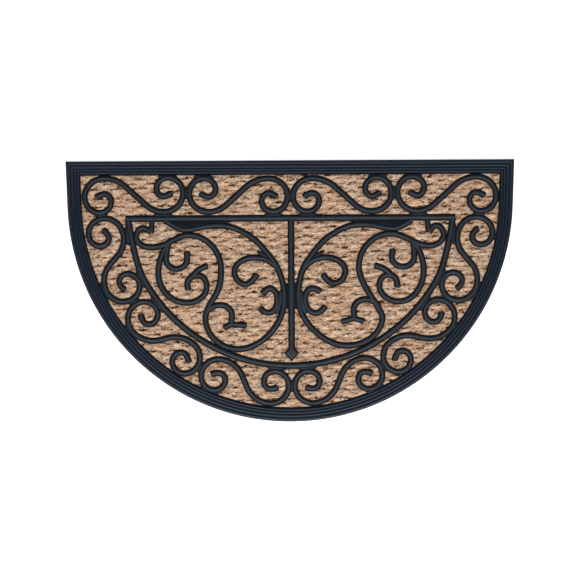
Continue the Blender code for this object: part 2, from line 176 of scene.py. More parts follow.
def rubber_finish_group():
    """Moulded rubber: near black and dull low down, lighter grey-blue and smoother on its crowns.

    A mask rises with height from the foot level to the crown level, and noise breaks its edge up. The
    colour follows the mask times the share of wear and shade, and the roughness follows the mask. The near
    black low down is painted shade on flanks, feet and grooves, and the lighter crowns are partly wear and
    partly a painted sheen.
    """
    group, inputs, outputs = shader_group(
        "moulded_rubber",
        (("Vector", "Vector"), ("Foot level", "Float"), ("Crown level", "Float"), ("Wear and shade", "Float"),
         ("Low colour", "Color")),
        (("Colour", "Color"), ("Roughness", "Float"), ("Normal", "Vector")),
    )
    nodes, links = group.nodes, group.links
    place = inputs.outputs["Vector"]

    split = nodes.new("ShaderNodeSeparateXYZ")
    links.new(place, split.inputs[0])
    blotches = soft_spots(group, place, scale=60.0, detail=5.0)
    level = nodes.new("ShaderNodeMath")
    links.new(split.outputs["Z"], level.inputs[0])
    links.new(stretched(group, blotches, low=-0.5 * MM, high=0.5 * MM), level.inputs[1])
    crown = nodes.new("ShaderNodeMapRange")
    crown.interpolation_type = "SMOOTHSTEP"
    links.new(level.outputs[0], crown.inputs["Value"])
    links.new(inputs.outputs["Foot level"], crown.inputs["From Min"])
    links.new(inputs.outputs["Crown level"], crown.inputs["From Max"])
    # Painted shade and wear: the mask times the share keeps low parts near black and lightens the crowns
    painted_shade_and_wear = nodes.new("ShaderNodeMath")
    painted_shade_and_wear.operation = "MULTIPLY"
    links.new(crown.outputs["Result"], painted_shade_and_wear.inputs[0])
    links.new(inputs.outputs["Wear and shade"], painted_shade_and_wear.inputs[1])

    dust = soft_spots(group, place, scale=420.0, detail=4.0)
    crown_colour = nodes.new("ShaderNodeValToRGB")
    crown_colour.color_ramp.elements[0].position = 0.32
    crown_colour.color_ramp.elements[0].color = (0.010, 0.017, 0.027, 1.0)
    crown_colour.color_ramp.elements[1].position = 0.70
    crown_colour.color_ramp.elements[1].color = (0.036, 0.048, 0.063, 1.0)
    links.new(dust, crown_colour.inputs["Fac"])
    colour = nodes.new("ShaderNodeMix")
    colour.data_type = "RGBA"
    links.new(inputs.outputs["Low colour"], colour.inputs["A"])
    links.new(painted_shade_and_wear.outputs[0], colour.inputs["Factor"])
    links.new(crown_colour.outputs["Color"], colour.inputs["B"])
    links.new(colour.outputs["Result"], outputs.inputs["Colour"])

    matt = nodes.new("ShaderNodeMapRange")
    matt.inputs["To Min"].default_value = 0.85
    links.new(crown.outputs["Result"], matt.inputs["Value"])
    links.new(stretched(group, blotches, low=0.56, high=0.42), matt.inputs["To Max"])
    links.new(matt.outputs["Result"], outputs.inputs["Roughness"])

    waves = relief(group, soft_spots(group, place, scale=160.0), strength=0.25, distance=0.6 * MM)
    fine = relief(group, dust, strength=0.45, distance=0.3 * MM)
    links.new(waves.outputs["Normal"], fine.inputs["Normal"])
    links.new(fine.outputs["Normal"], outputs.inputs["Normal"])
    return group


rubber_finish = rubber_finish_group()


def rubber_material(name, foot_level, crown_level, wear_and_shade_share, shine, low_colour=(0.0010, 0.0024, 0.0050)):
    """Blue-black rubber, lighter by the share given on what stands above the two levels, in millimetres.
    Low down it keeps the low colour as painted shade, and the lighter crowns are partly wear and partly a
    painted sheen.
    """
    material = bpy.data.materials.new(name)
    material.use_nodes = True
    nodes, links = material.node_tree.nodes, material.node_tree.links
    shader = nodes["Principled BSDF"]
    shader.inputs["Specular IOR Level"].default_value = shine
    place = nodes.new("ShaderNodeTexCoord")
    finish = nodes.new("ShaderNodeGroup")
    finish.node_tree = rubber_finish
    finish.inputs["Foot level"].default_value = foot_level * MM
    finish.inputs["Crown level"].default_value = crown_level * MM
    finish.inputs["Wear and shade"].default_value = wear_and_shade_share
    finish.inputs["Low colour"].default_value = (*low_colour, 1.0)
    links.new(place.outputs["Object"], finish.inputs["Vector"])
    links.new(finish.outputs["Colour"], shader.inputs["Base Color"])
    links.new(finish.outputs["Roughness"], shader.inputs["Roughness"])
    links.new(finish.outputs["Normal"], shader.inputs["Normal"])
    return material


profile = border_profile()
rings = np.stack([np.insert(outline(inset), 2, z, axis=1) for inset, z in profile])
# Painted shade: the border's grooves, outer shoulder and inner wall keep the near black low colour
border_rubber = rubber_material("border_rubber", foot_level=6.9, crown_level=8.4, wear_and_shade_share=0.12, shine=0.36,
                                low_colour=(0.0006, 0.0058, 0.0155))
tray = piece_of("tray", [stacked_rings(rings[:, ::-1])], border_rubber)
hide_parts("rubber_moulding")


# The inner frame
# A half-round bar and a straight one across its back, moulded on the tray. Every bar of the grille has
# one section: flat underneath, gently rounded on top and steep at the sides. The grille's plan sits a
# hair to the right and front of the tray's middle.
BAR_BOTTOM = 6.6
BAR_TOP = tray_high[2]
SCROLL_BAR = 10.6
FRAME_BAR = 11.4
FRAME_INSET = 97.5
FRAME_BACK_Y = BACK_Y - FRAME_INSET
FRAME_RADIUS = 284.0
FRAME_SET_BACK = 1.6
FRAME_MIDDLE_Y = ARC_Y + FRAME_SET_BACK
FRAME_ARC_TOP_Y = 22.0
FRAME_CORNER = (275.5, FRAME_BACK_Y)
FRAME_TOP_HEADING = 81.0
FRAME_POINTS = 160
CORNER_OVERLAP = 4.0
PARALLEL = 0.001
FACET_SAG = 0.05
FACET_TURN = math.radians(8.0)
LONGEST_FACET = 40.0
STRAIGHT_STEP = 3.0
LOOK = 0.4
SECTION_POINTS = 13
SECTION = np.sin(np.linspace(-math.pi / 2, math.pi / 2, SECTION_POINTS))
BAR_ROUNDNESS = 2.3
TIP_REACH = 0.30
TIP_QUARTER = np.linspace(0, math.radians(86), 7)
TIP_CLEAR = 1.05
TIP_DROP = 0.45
TIP_FLARE = 0.14
TIP_FLARE_LENGTH = 7.0
# Columns: share of the width, length in millimetres
UNEVENNESS = ((0.02, 23.0), (0.015, 9.1))
GRILLE_SET = np.array([0.4, -0.7])
footprints = []


def unit(heading):
    """Direction of a heading in degrees."""
    return np.array([math.cos(math.radians(heading)), math.sin(math.radians(heading))])


def easy_curve(start, end, count=48):
    """A cubic between two stations (x, y, heading) that is round like an arc where the two allow it.

    Each handle is 4/3 tan(turn/4) / tan(turn/2) of the way to the point where the two headings meet.
    """
    p0, p1 = np.array(start[:2]), np.array(end[:2])
    d0, d1 = unit(start[2]), unit(end[2])
    chord = p1 - p0
    cross = d0[0] * d1[1] - d0[1] * d1[0]
    reach0 = reach1 = np.linalg.norm(chord) / 3
    if abs(cross) > PARALLEL:
        to_corner = (chord[0] * d1[1] - chord[1] * d1[0]) / cross
        from_corner = (d0[0] * chord[1] - d0[1] * chord[0]) / cross
        if to_corner > 0 and from_corner > 0:
            turn = math.radians(abs(end[2] - start[2]))
            roundness = 4 / 3 * math.tan(turn / 4) / math.tan(turn / 2)
            reach0, reach1 = roundness * to_corner, roundness * from_corner
    u = np.linspace(0, 1, count + 1)[:, None]
    c0, c1 = p0 + reach0 * d0, p1 - reach1 * d1
    return (1 - u) ** 3 * p0 + 3 * u * (1 - u) ** 2 * c0 + 3 * u ** 2 * (1 - u) * c1 + u ** 3 * p1


def facet_marks(path):
    """Distances along a path for its rings: closer where it bends, by sag and by turn."""
    steps = np.diff(path, axis=0)
    lengths = np.linalg.norm(steps, axis=1)
    turns = np.abs(np.diff(np.unwrap(np.arctan2(steps[:, 1], steps[:, 0]))))
    bends = (np.append(turns, 0.0) + np.insert(turns, 0, 0.0)) / 2
    facets = np.maximum(bends / FACET_TURN, np.sqrt(bends * lengths / (8 * FACET_SAG)))
    total = np.concatenate([[0.0], np.cumsum(facets + lengths / LONGEST_FACET)])
    along = np.concatenate([[0.0], np.cumsum(lengths)])
    return np.interp(np.linspace(0, total[-1], math.ceil(total[-1]) + 1), total, along), along


def points_at(path, along, marks):
    """Points of a path at given distances along it, on the straight lines between its own points."""
    return np.stack([np.interp(marks, along, path[:, axis]) for axis in (0, 1)], axis=1)


def swept_bar(path, width, top=BAR_TOP, tip_start=False, tip_end=False, tip=TIP_REACH, flare=TIP_FLARE):
    """A bar of the grille carried along a path, closed at both ends.

    Height over the bottom is (top - bottom)(1 - |s|^p) for s from -1 to 1 across the width. The width
    wavers by two sines of the distance. A free tip widens by a bell of the distance from it, and its last
    part, tip times the width long, is drawn in like a quarter ellipse, in plan and a little in height.
    """
    path = path + GRILLE_SET
    marks, along = facet_marks(path)
    reach = tip * width
    shrink = np.ones(len(marks))
    if tip_start:
        kept = marks > reach * TIP_CLEAR
        marks = np.concatenate([(reach * (1 - np.sin(TIP_QUARTER)))[::-1], marks[kept]])
        shrink = np.concatenate([np.cos(TIP_QUARTER)[::-1], shrink[kept]])
    if tip_end:
        kept = marks < along[-1] - reach * TIP_CLEAR
        marks = np.concatenate([marks[kept], along[-1] - reach * (1 - np.sin(TIP_QUARTER))])
        shrink = np.concatenate([shrink[kept], np.cos(TIP_QUARTER)])
    points, ahead, behind = [points_at(path, along, marks + step) for step in (0.0, LOOK, -LOOK)]
    way = (ahead - behind) / np.linalg.norm(ahead - behind, axis=1)[:, None]
    side = np.column_stack([way[:, 1], -way[:, 0]])
    uneven = 1.0
    for (share, length), phase in zip(UNEVENNESS, path[0]):
        uneven = uneven + share * np.sin(marks / length + phase)
    for free, away in ((tip_start, marks), (tip_end, along[-1] - marks)):
        uneven = uneven + free * flare * np.exp(-(away / TIP_FLARE_LENGTH) ** 2)
    reach_out = (width / 2 * shrink * uneven)[:, None] * SECTION
    plan = points[:, None, :] + reach_out[:, :, None] * side[:, None, :]
    rise = (top - BAR_BOTTOM) * (1 - np.abs(SECTION) ** BAR_ROUNDNESS) * (shrink ** TIP_DROP)[:, None]
    footprints.append((points, width / 2 * shrink))
    return stacked_rings(np.concatenate([plan, (BAR_BOTTOM + rise)[:, :, None]], axis=2)[:, ::-1])


def densely(points):
    """A path given by few points, with one more every few millimetres of each straight."""
    runs = [np.linspace(a, b, max(2, int(np.linalg.norm(np.subtract(b, a)) / STRAIGHT_STEP)))[:-1]
            for a, b in zip(points, points[1:])]
    return np.concatenate(runs + [[points[-1]]])


# Painted shade on each bar's flanks and foot, which keep the near black low colour; the lighter crowns are
# partly wear and partly a painted sheen
bar_rubber = rubber_material("bar_rubber", foot_level=8.9, crown_level=9.9, wear_and_shade_share=0.55, shine=0.30)
rise_angle = math.asin((FRAME_ARC_TOP_Y - FRAME_MIDDLE_Y) / FRAME_RADIUS)
frame_angles = np.linspace(-math.pi / 2, rise_angle, FRAME_POINTS)
frame_arc = np.stack([FRAME_RADIUS * np.cos(frame_angles),
                      FRAME_MIDDLE_Y + FRAME_RADIUS * np.sin(frame_angles)], axis=1)
arc_end = (*frame_arc[-1], math.degrees(rise_angle) + 90.0)
frame_top = easy_curve(arc_end, (*FRAME_CORNER, FRAME_TOP_HEADING))
frame_side = np.concatenate([frame_arc, frame_top[1:]])
round_frame = np.concatenate([(frame_side * (-1, 1))[::-1], frame_side[1:]])
back_end = FRAME_CORNER[0] + CORNER_OVERLAP
back_frame = densely([(-back_end, FRAME_BACK_Y), (back_end, FRAME_BACK_Y)])
frame_bars = [swept_bar(round_frame, FRAME_BAR), swept_bar(back_frame, FRAME_BAR)]
inner_frame = piece_of("inner_frame", frame_bars, bar_rubber)
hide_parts("rubber_moulding")


# The stem
# A straight bar down the middle of the frame with a collar where the scrolls gather and a diamond
# finial that points at the round bar.
STEM_X = 0.9
STEM_FOOT = -97.0
COLLAR_WIDTH = 21.0
COLLAR_ENDS = (14.0, -30.0)
COLLAR_TOP = 9.5
FINIAL_MIDDLE = -104.5
FINIAL_HALF_LENGTH = 14.5
FINIAL_HALF_WIDTH = 12.8
FINIAL_FLATNESS = 6
FINIAL_SIDES = 64
FINIAL_RINGS = 14
FINIAL_TIP = 0.02
FINIAL_CIRCLES = 9


def diamond():
    """The finial: rings of a diamond, and its height falls with a high power of the way out.

    Its footprint is a run of circles that just fit it, across and along.
    """
    turn = np.linspace(0, 2 * math.pi, FINIAL_SIDES + 1)[:-1]
    reach = 1 / (np.abs(np.cos(turn)) / FINIAL_HALF_WIDTH + np.abs(np.sin(turn)) / FINIAL_HALF_LENGTH)
    out = np.linspace(1, FINIAL_TIP, FINIAL_RINGS)[:, None]
    middle = GRILLE_SET + (STEM_X, FINIAL_MIDDLE)
    x = middle[0] + out * reach * np.cos(turn)
    y = middle[1] + out * reach * np.sin(turn)
    z = BAR_BOTTOM + (BAR_TOP - BAR_BOTTOM) * (1 - out ** FINIAL_FLATNESS) + 0 * x
    share = np.linspace(-1, 1, FINIAL_CIRCLES)[:, None]
    fit = FINIAL_HALF_WIDTH * FINIAL_HALF_LENGTH / math.hypot(FINIAL_HALF_WIDTH, FINIAL_HALF_LENGTH)
    for arm in ((FINIAL_HALF_WIDTH, 0.0), (0.0, FINIAL_HALF_LENGTH)):
        footprints.append((middle + share * arm, fit * (1 - np.abs(share[:, 0]))))
    return stacked_rings(np.stack([x, y, z], axis=2))


stem_bar = swept_bar(densely([(STEM_X, FRAME_BACK_Y), (STEM_X, STEM_FOOT)]), FRAME_BAR)
collar_bar = swept_bar(densely([(STEM_X, y) for y in COLLAR_ENDS]), COLLAR_WIDTH, COLLAR_TOP)
stem = piece_of("stem", [stem_bar, collar_bar, diamond()], bar_rubber)
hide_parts("rubber_moulding")


# Scrollwork in the frame
# Each half has a great volute with an arch over it, curls that spring from them, a clasp beside the
# stem and small shoots. The halves match but were set out apart.
# Columns of a bar: its heading at a station in degrees from outwards, the station's distance from the
# stem and its y in the right half, then the same two in the left half, in millimetres.
VOLUTE = (
    (40, 234.5, 99.5, 235.5, 101.0),
    (0, 246.5, 110.5, 251.0, 108.5),
    (-90, 259.5, 96.0, 261.5, 93.0),
    (-180, 236.5, 76.5, 236.5, 76.0),
    (-209, 210.5, 82.5, 209.0, 82.5),
    (-180, 170.5, 97.5, 174.0, 96.5),
    (-90, 115.5, 41.0, 118.0, 37.0),
    (-57, 133.5, -5.0, 127.5, -5.0),
    (-90, 155.0, -44.0, 145.0, -44.0),
    (-180, 94.5, -92.5, 89.0, -97.5),
    (-221, 43.5, -70.5, 42.5, -78.0),
    (-270, 12.5, -10.0, 11.0, -10.0),
)
ARCH = (
    (90, 12.5, -10.0, 11.0, -10.0),
    (62, 24.0, 44.0, 25.0, 45.0),
    (48, 51.0, 80.5, 53.0, 80.5),
    (27, 85.5, 105.0, 85.5, 103.5),
    (0, 118.0, 113.0, 122.0, 112.5),
    (-14, 150.0, 109.5, 153.0, 109.0),
    (0, 176.0, 106.0, 180.0, 105.5),
    (33, 205.5, 120.0, 212.5, 121.0),
)
RING = (
    (-58, 211.5, 80.0, 210.0, 79.5),
    (-90, 225.5, 36.0, 224.5, 32.0),
    (-180, 183.5, -18.0, 176.5, -18.5),
    (-270, 150.0, 9.5, 142.5, 9.0),
    (-360, 165.5, 27.5, 157.5, 28.0),
    (-450, 180.0, 14.0, 175.5, 13.0),
    (-450, 181.5, 5.0, 174.0, 2.0),
)
UPPER_CURL = (
    (-75, 208.0, 81.0, 207.0, 82.0),
    (-90, 209.5, 58.0, 211.5, 56.0),
    (-180, 191.0, 41.0, 194.5, 39.0),
    (-270, 171.5, 57.0, 175.5, 56.0),
    (-275, 173.5, 72.0, 176.0, 69.5),
)
STEM_CURL = (
    (60, 22.0, 38.0, 24.5, 42.0),
    (30, 38.0, 52.5, 40.0, 53.5),
    (0, 60.0, 57.5, 62.0, 57.5),
    (-90, 92.5, 34.0, 95.5, 34.0),
    (-180, 72.5, 13.5, 76.5, 12.5),
    (-240, 54.0, 29.8, 56.9, 30.6),
)
CLASP = (
    (135, 51.0, -2.0, 49.5, -4.5),
    (180, 36.5, 5.0, 36.0, 5.5),
    (270, 24.0, -13.0, 23.0, -14.0),
    (360, 42.0, -37.0, 38.0, -36.0),
    (415, 59.0, -24.8, 53.0, -26.4),
)
LOWER_CURL = (
    (120, 150.0, -27.0, 140.0, -33.0),
    (180, 126.5, -14.0, 120.0, -22.5),
    (270, 106.5, -31.0, 100.0, -40.0),
    (275, 107.5, -45.0, 101.5, -54.5),
)
OUTER_WING = ((-15, 106.5, -46.0, 101.0, -55.0), (-35, 124.5, -52.5, 114.5, -62.5))
INNER_WING = ((190, 108.0, -46.0, 102.0, -55.0), (185, 84.5, -51.5, 74.5, -57.5))
SHOOT = ((130, 171.0, 26.0, 167.0, 26.0), (150, 159.0, 37.0, 155.0, 38.0), (175, 141.0, 43.0, 140.0, 44.0))
STUB = ((-80, 231.5, 121.0, 234.5, 121.0), (-80, 234.8, 98.3, 236.4, 99.8))
WING_BAR = 9.4
# Columns: stations, width, whether the start and the end are free tips
PANEL_BARS = (
    (VOLUTE, SCROLL_BAR, False, False),
    (ARCH, SCROLL_BAR, False, False),
    (RING, SCROLL_BAR, False, True),
    (UPPER_CURL, SCROLL_BAR, False, True),
    (STEM_CURL, SCROLL_BAR, False, True),
    (CLASP, SCROLL_BAR, True, True),
    (LOWER_CURL, SCROLL_BAR, False, False),
    (OUTER_WING, WING_BAR, False, True),
    (INNER_WING, WING_BAR, False, True),
    (SHOOT, SCROLL_BAR, False, True),
    (STUB, WING_BAR, False, True),
)


def station_path(stations, half):
    """One smooth path through a bar's stations: half is 1 for the right and -1 for the left."""
    first = 1 if half > 0 else 3
    rows = [(row[first], row[first + 1], row[0]) for row in stations]
    runs = [easy_curve(a, b) for a, b in zip(rows, rows[1:])]
    return np.concatenate([runs[0]] + [run[1:] for run in runs[1:]]) * (half, 1)


panel_bars = [swept_bar(station_path(stations, half), width, BAR_TOP, tip_start, tip_end)
              for half in (1, -1) for stations, width, tip_start, tip_end in PANEL_BARS]
panel_scrolls = piece_of("panel_scrolls", panel_bars, bar_rubber)
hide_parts("rubber_moulding")


# The band of S-scrolls
# Ten S-scrolls run round the band between the frame and the border, two to each half along the back and
# three round the front. Half of each is a straight lead, an easy bend, a tightening curl and a tail.
BAND_Y = BACK_Y - (BORDER + FRAME_INSET - SCROLL_BAR / 2) / 2
# Columns: 1 or -1 for the S or its mirror image, distance of the middle from the stem, its step up from
# the band's middle, twist and tilt in degrees, then for each half of the S the length of the lead, the
# radius of the ease and the outer radius of the curl
BACK_SCROLL_PLACES = (
    (-1, 91.0, -0.2, 0.0, 42.0, (20.5, 58.0, 34.6), (25.0, 43.5, 35.0)),
    (1, 263.0, 0.6, 2.5, 39.5, (22.5, 54.5, 36.0), (26.0, 43.0, 36.0)),
)
BACK_CURL = 375.0
BACK_CURL_END = 8.4
# Columns: degrees round from the stem in the right half and in the left, distance of the middle from
# the centre of the front, twist and tilt in degrees, side to which the first half leans, radius of the
# ease, then the length of the lead and the curl's outer radius for each half of the S
FRONT_SCROLL_PLACES = (
    (14.7, 14.4, 318.8, 1.5, 52.5, 1, 47.5, (9.5, 33.2), (8.5, 34.7)),
    (42.8, 42.5, 320.3, 0.0, 55.0, -1, 47.0, (7.5, 35.0), (10.0, 32.0)),
    (70.9, 71.0, 319.0, 3.5, 56.5, 1, 42.0, (13.0, 34.9), (7.0, 35.3)),
)
FRONT_CURL = 373.0
FRONT_CURL_END = 9.0
TAIL_TURN = 32.0
TAIL_RADIUS = 26.0
BEND_STEP = 2.0


def bend(heading, turn, r_start, r_end):
    """A bend from the origin: short steps whose length is the radius times the turn of each."""
    count = math.ceil(abs(turn) / BEND_STEP)
    share = (np.arange(count) + 0.5) / count
    headings = np.radians(heading + turn * share)
    lengths = (r_start + (r_end - r_start) * share) * math.radians(abs(turn) / count)
    return np.cumsum(lengths[:, None] * np.stack([np.cos(headings), np.sin(headings)], axis=1), axis=0)


def half_scroll(tangent, side, lead, ease, r_out, shape):
    """Half of an S from the origin: a straight lead, an ease back to its line, a curl and a tail.

    The curl's radius shrinks evenly as it turns, and the ease and the tail each keep one radius.
    """
    tilt = shape["tilt"] * side
    path = densely([(0.0, 0.0), lead * unit(tangent + tilt)])
    for heading, turn, r_start, r_end in (
        (tangent + tilt, -tilt, ease, ease),
        (tangent, -side * shape["curl"], r_out, shape["r_in"]),
        (tangent - side * shape["curl"], -side * TAIL_TURN, TAIL_RADIUS, TAIL_RADIUS),
    ):
        path = np.concatenate([path, path[-1] + bend(heading, turn, r_start, r_end)])
    return path


def s_scroll(centre, tangent, side, halves, shape):
    """An S about its middle: one half, and the other turned round."""
    first, second = [half_scroll(tangent, side, lead, ease, r_out, shape) for lead, ease, r_out in halves]
    return np.array(centre) + np.concatenate([-second[::-1], first[1:]])


def band_paths(half):
    """The S-scrolls of one half of the band, in order from the back round to the front."""
    paths = []
    for mirror, x, y_step, twist, tilt, *halves in BACK_SCROLL_PLACES:
        shape = {"tilt": tilt, "curl": BACK_CURL, "r_in": BACK_CURL_END}
        paths.append(s_scroll((0.0, 0.0), twist, 1, halves, shape) * (mirror, 1) + (x, BAND_Y + y_step))
    for right, left, radius, twist, tilt, lean, ease, *ends in reversed(FRONT_SCROLL_PLACES):
        angle = right if half > 0 else left
        centre = np.array([0.0, ARC_Y]) + radius * unit(angle - 90.0)
        halves = [(lead, ease, r_out) for lead, r_out in ends]
        shape = {"tilt": tilt, "curl": FRONT_CURL, "r_in": FRONT_CURL_END}
        paths.append(s_scroll(centre, angle + twist, lean, halves, shape))
    return [path * (half, 1) for path in paths]


right_scrolls, left_scrolls = band_paths(1), band_paths(-1)
scroll_bars = [swept_bar(path, SCROLL_BAR, tip_start=True, tip_end=True)
               for path in right_scrolls + left_scrolls]
band_scrolls = piece_of("band_scrolls", scroll_bars, bar_rubber)
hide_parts("rubber_moulding")


# Webs
# Where two bars touch, the mould leaves a low web in the wedge on each side. A broad lens that rises away
# from the straight bar fills the space between it and the arch.
WEB_TOP = 8.6
RIM_WEB = 33.0
PAIR_WEB = 21.0
WEB_WIDTH = 8.0
WEB_TIP = 1.3
LENS_EDGE = np.array((
    (100.0, 117.0), (125.0, 113.5), (150.0, 108.5), (172.0, 105.0),
    (184.0, 106.5), (200.0, 114.0), (213.0, 121.5),
))
LENS_BACK_Y = 122.5
LENS_BACK_TOP = 7.4
LENS_RISE = 1.5
LENS_SECTIONS = 40
LENS_SECTION_POINTS = 9
# Columns: line, width, top
INNER_WEBS = (
    (((17.0, 3.0), (17.6, -14.0), (25.5, -39.0)), 12.0, COLLAR_TOP - 0.2),
    (((36.5, 55.8), (57.5, 69.2)), 6.8, WEB_TOP),
    (((208.0, 79.0), (213.5, 60.0)), 8.0, WEB_TOP),
    (((277.5, 116.0), (275.0, 79.0)), 9.0, WEB_TOP),
)


def low_web(line, width, top):
    """A low bar with two long free tips that don't flare."""
    return swept_bar(line, width, top, tip_start=True, tip_end=True, tip=WEB_TIP, flare=0.0)


def touching_web(path, other, length):
    """A low web laid along the place where two paths come nearest."""
    apart = np.linalg.norm(path[:, None] - other[None], axis=2)
    i, j = np.unravel_index(np.argmin(apart), apart.shape)
    across = (other[j] - path[i]) / apart[i, j]
    along = np.array([-across[1], across[0]]) * length / 2
    middle = (path[i] + other[j]) / 2
    return low_web(densely([middle - along, middle + along]), WEB_WIDTH, WEB_TOP)


def lens_web(half):
    """The lens: sections run from the straight bar to the arch and rise with the square of the way."""
    x = np.linspace(LENS_EDGE[0, 0], LENS_EDGE[-1, 0], LENS_SECTIONS)
    low = np.interp(x, LENS_EDGE[:, 0], LENS_EDGE[:, 1])
    share = np.linspace(0, 1, LENS_SECTION_POINTS)
    y = LENS_BACK_Y + (low - LENS_BACK_Y)[:, None] * share
    top = np.stack([x[:, None] + 0 * y, y, LENS_BACK_TOP + LENS_RISE * share ** 2 + 0 * y], axis=2)
    foot = top[:, ::-1] * (1, 1, 0) + (0, 0, BAR_BOTTOM)
    points, faces = stacked_rings(np.concatenate([top, foot], axis=1))
    footprints.append((np.stack([x, (low + LENS_BACK_Y) / 2], axis=1) * (half, 1), (LENS_BACK_Y - low) / 2))
    return points * (half, 1, 1), [face[::half] for face in faces]


web_bars = []
rim = outline(BORDER, step=0.25)
rim = np.concatenate([densely(rim[:2]), rim[2:]])
for half, scrolls in ((1, right_scrolls), (-1, left_scrolls)):
    for number, path in enumerate(scrolls):
        web_bars.append(touching_web(path, rim, RIM_WEB))
        web_bars.append(touching_web(path, back_frame if number < 2 else round_frame, RIM_WEB))
    for path, following in zip(scrolls, scrolls[1:]):
        web_bars.append(touching_web(path, following, PAIR_WEB))
    for line, width, top in INNER_WEBS:
        web_bars.append(low_web(densely(line) * (half, 1), width, top))
    web_bars.append(lens_web(half))
for number in (0, -1):
    web_bars.append(touching_web(right_scrolls[number], left_scrolls[number], PAIR_WEB))
# Painted shade: the low webs and the lens's low side by the straight bar keep the near black low colour,
# and both lighten towards their tops
web_rubber = rubber_material("web_rubber", foot_level=7.6, crown_level=9.0, wear_and_shade_share=0.45, shine=0.30)
webs = piece_of("webs", web_bars, web_rubber)
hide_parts("rubber_moulding")


# The coir panel
# Bleached coconut fibre, woven from thick twisted yarn in floats that step half a repeat from row to row,
# with sunken gaps between them that are painted dark as shade. The bars press it down, and it bulges up in
# the openings of the grille.
FIT_GAP = 0.3
COIR_INSET = BORDER + FIT_GAP
coir_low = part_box("coir_panel")[0][2] / MM
PRESSED_TOP = 6.2
PILE_TOP = 9.3
LOWEST_PILE = 4.6
HIGHEST_PILE = 10.2
PILE_RISE = 8.0
ROUGH_RISE = 3.0
SHADE_REACH = 4.5
BAR_MARGIN = 0.6
CLEARANCE_LIMIT = 9.0
# Columns: seed, then the widths of the noise's bell along the mat and across it
SWAY_NOISE = (11, 13.0, 7.0)
TUFT_NOISE = (12, 2.2, 0.7)
CLUMP_NOISE = (13, 5.0, 1.8)
DASH_NOISE = (14, 1.1, 0.5)
BLUSH_NOISE = (15, 7.0, 3.4)
FLOAT_NOISE = (16, 40.0, 30.0)
ROW_NOISE = (17, 40.0, 20.0)
LAY_SWAY = 1.2
LAY_SLOPE = 0.165
FLOAT_REPEAT = (39.2, 14.55)
FLOAT_LEAN = (0.064, 0.019)
FLOAT_DRIFT = 1.5
ROW_DRIFT = 0.7
FLOAT_PHASE = 0.79
ROW_PHASE = 0.06
FLOAT_WEIGHT = 1.05
# Columns: weight, waves to a repeat, phase
ROW_WAVES = ((0.6, 2, 1.59), (0.28, 1, -1.24))
WEAVE_GAPS = 1.05
CLUMP_GAPS = 0.25
GAP_START = 1.75
GAP_SOFTNESS = 0.5
GAP_DEPTH = 1.6
TUFT_HEIGHT = 0.25
CLUMP_HEIGHT = 0.20
TONE = 0.62
TUFT_TONE = 0.05
CLUMP_TONE = 0.02
WEAVE_TONE = 0.08
SHADE_TONE = 0.08
BLUSH = 0.5
BLUSH_SPREAD = 0.24
SHADE_BLUSH = 0.5
PILE_DARKER = 0.13
GAPS_DARKER = 0.55
ROWS, COLUMNS = 400, 236
EDGE_TRIM = 0.02
CELL = 0.5
MARGIN_CELLS = 30
# A hair more than one cell, so that the next cell is still in the field
NEXT_CELL = 1.001
LEAST_SQUARE = 0.01
plan_shape = (int(2 * BACK_Y / CELL) + MARGIN_CELLS, int(2 * tray_high[0] / CELL) + MARGIN_CELLS)
plan_corner = -CELL * np.array([plan_shape[1], plan_shape[0]]) / 2


def field_at(field, x, y):
    """Value of a field of small square cells at any points, read evenly between the four nearest."""
    across = np.clip((x - plan_corner[0]) / CELL, 0, plan_shape[1] - NEXT_CELL)
    up = np.clip((y - plan_corner[1]) / CELL, 0, plan_shape[0] - NEXT_CELL)
    i, j = up.astype(int), across.astype(int)
    v, u = up - i, across - j
    low = field[i, j] * (1 - u) + field[i, j + 1] * u
    high = field[i + 1, j] * (1 - u) + field[i + 1, j + 1] * u
    return low * (1 - v) + high * v


def soft_noise(seed, along, across):
    """White noise blurred by a bell of the two widths in millimetres, then given unit spread."""
    noise = np.random.default_rng(seed).standard_normal(plan_shape)
    up = np.fft.fftfreq(plan_shape[0], CELL)[:, None]
    right = np.fft.rfftfreq(plan_shape[1], CELL)[None]
    bell = np.exp(-2 * math.pi ** 2 * ((along * right) ** 2 + (across * up) ** 2))
    soft = np.fft.irfft2(np.fft.rfft2(noise) * bell, plan_shape)
    return (soft - soft.mean()) / soft.std()


def smooth(value):
    """Rises smoothly from 0 to 1 as the value goes from 0 to 1."""
    t = np.clip(value, 0, 1)
    return t * t * (3 - 2 * t)


def border_clearance(x, y):
    """Distance of points inside the border's inner wall."""
    across = np.abs(x) * math.cos(SIDE_FLARE) - (y - ARC_Y) * math.sin(SIDE_FLARE)
    round_front = np.hypot(x, y - ARC_Y)
    reach = np.where(y < ARC_Y, round_front, across)
    return np.minimum(ARC_RADIUS - reach, BACK_Y - y) - BORDER


def bar_clearance():
    """Distance from each cell to the nearest bar's edge, up to a limit.

    Each point of each footprint stamps its distance less its half width on the cells round it.
    """
    reach = round(CLEARANCE_LIMIT / CELL)
    window = np.arange(-reach, reach + 1)
    across, up = np.meshgrid(window, window)
    clearance = np.full(plan_shape, CLEARANCE_LIMIT)
    for points, half_widths in footprints:
        steps = np.linalg.norm(np.diff(points, axis=0), axis=1)
        along = np.concatenate([[0.0], np.cumsum(steps)])
        marks = np.linspace(0, along[-1], int(along[-1]) + 2)
        x, y = ((points_at(points, along, marks) - plan_corner) / CELL).T
        widths = np.interp(marks, along, half_widths)
        column, row = np.rint(x).astype(int), np.rint(y).astype(int)
        cells = (row[:, None, None] + up, column[:, None, None] + across)
        apart = np.hypot(cells[1] - x[:, None, None], cells[0] - y[:, None, None]) * CELL
        np.minimum.at(clearance, cells, apart - widths[:, None, None])
    return clearance


